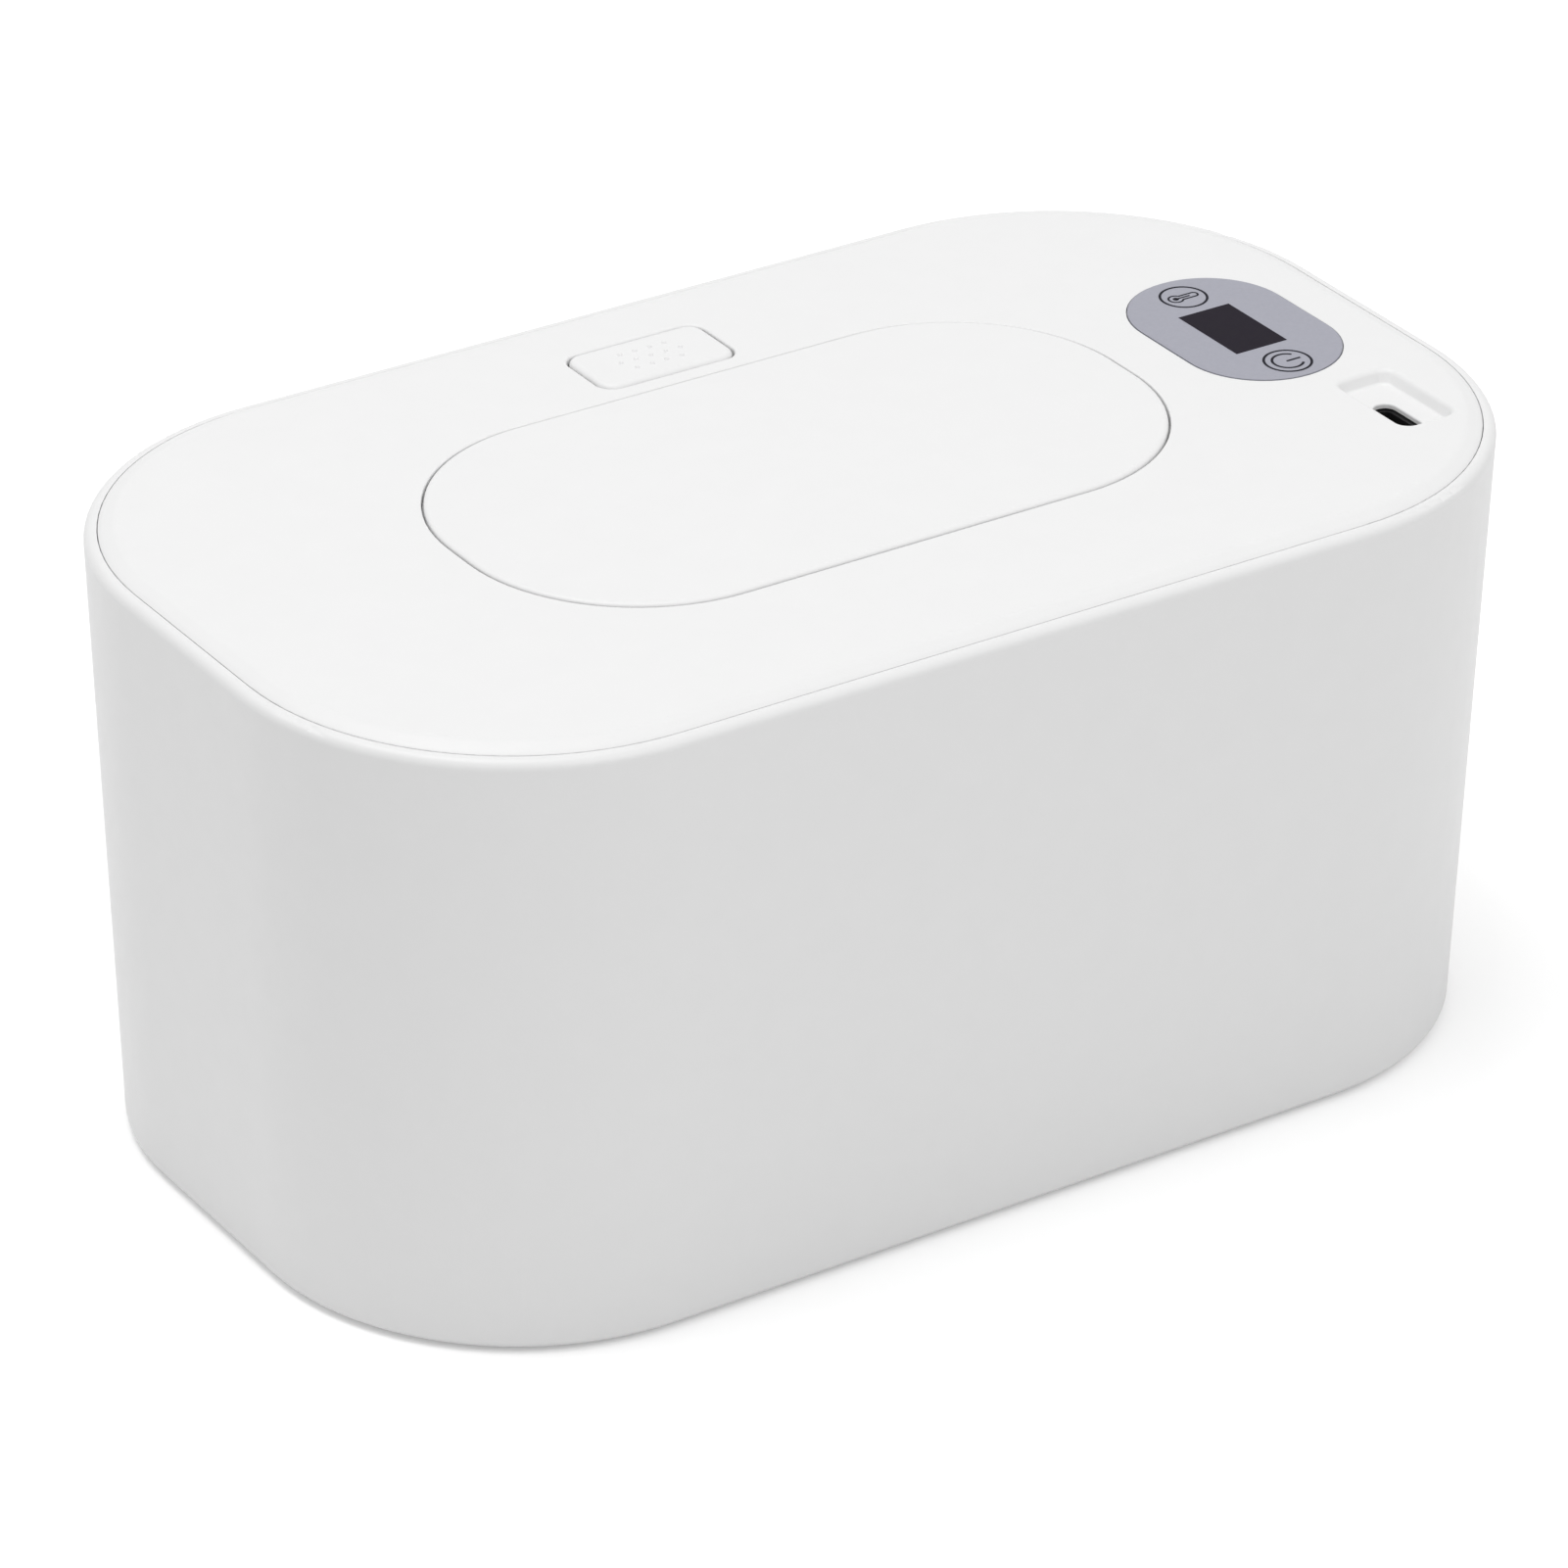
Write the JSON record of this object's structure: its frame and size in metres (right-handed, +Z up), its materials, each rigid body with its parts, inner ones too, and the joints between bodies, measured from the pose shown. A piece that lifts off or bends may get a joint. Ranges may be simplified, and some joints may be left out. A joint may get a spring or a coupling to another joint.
{
  "type": "baby wipe warmer",
  "caption": "White oval tabletop wipe warmer with a hinged dispensing door, push release button and a grey touch panel with a small display; the lid lifts off a foam-insulated tub.",
  "frame": {"origin": "Bottom centre of the whole object, on the table that the feet stand on.", "axes": "+X along the length towards the control panel, +Y across towards the release button, +Z up."},
  "size_m": [0.21, 0.1246, 0.1002],
  "materials": {
    "housing": "warm white moulded plastic of the tub, finely textured, satin",
    "lid": "white moulded plastic of the lid, door and button, finely textured, satin",
    "inner_plastic": "white moulded plastic inside, smooth",
    "panel": "grey-lavender overlay, fine matte",
    "black_plastic": "black moulded plastic and smoked display",
    "foam": "closed-cell insulating foam",
    "rubber": "grey anti-slip rubber",
    "seal": "soft white silicone",
    "aluminium": "plain rolled aluminium sheet",
    "film": "amber polyimide heater film",
    "board": "green circuit board",
    "lead_wire": "white insulated wire",
    "screw_steel": "zinc-plated steel",
    "spring_steel": "bright spring steel"
  },
  "bodies": {
    "tub": {"outer_housing": "housing", "inner_liner": "inner_plastic", "insulation_wrap": "foam", "insulation_base": "foam", "rubber_feet": "rubber", "liner_screws": "screw_steel"},
    "lid": {"lid_shell": "lid", "lid_inner_cover": "inner_plastic", "lid_gasket": "seal", "lid_screws": "screw_steel", "heat_plate": "aluminium", "heater_film": "film", "heater_insulation": "foam", "thermal_fuse": "screw_steel", "thermistor": "black_plastic", "heater_leads": "lead_wire", "hinge_well_cover": "inner_plastic", "control_panel": "panel", "display_module": "black_plastic", "control_board": "board", "board_chips": "black_plastic", "board_screws": "screw_steel", "power_socket": "black_plastic", "touch_springs": "spring_steel", "hinge_pin": "spring_steel", "door_spring": "spring_steel", "latch_retainer": "inner_plastic", "retainer_screws": "screw_steel", "latch_spring": "spring_steel"},
    "door": {"door_shell": "lid", "door_liner": "inner_plastic", "door_seal": "seal", "door_catch": "inner_plastic"},
    "button": {"push_button": "lid"},
    "latch": {"latch_slider": "inner_plastic"}
  },
  "joints": [
    {"name": "lid_lift", "type": "slide", "parent": "tub", "child": "lid", "axis": [0, 0, 1], "range_m": [0, 0.1]},
    {"name": "door_open", "type": "hinge", "parent": "lid", "child": "door", "pos_m": [0, -0.0362, 0.0965], "axis": [1, 0, 0], "range_deg": [0, 100], "deforming": ["door_spring", "door_catch"]},
    {"name": "button_press", "type": "slide", "parent": "lid", "child": "button", "axis": [0, 0, -1], "range_m": [0, 0.0015], "stiffness_N_per_m": 300, "springref_m": -0.001},
    {"name": "latch_slide", "type": "slide", "parent": "lid", "child": "latch", "axis": [0, 1, 0], "range_m": [0, 0.0015], "deforming": ["latch_spring"]}
  ],
  "couplings": [
    {"joint": "latch_slide", "follows": "button_press", "ratio": 1}
  ]
}
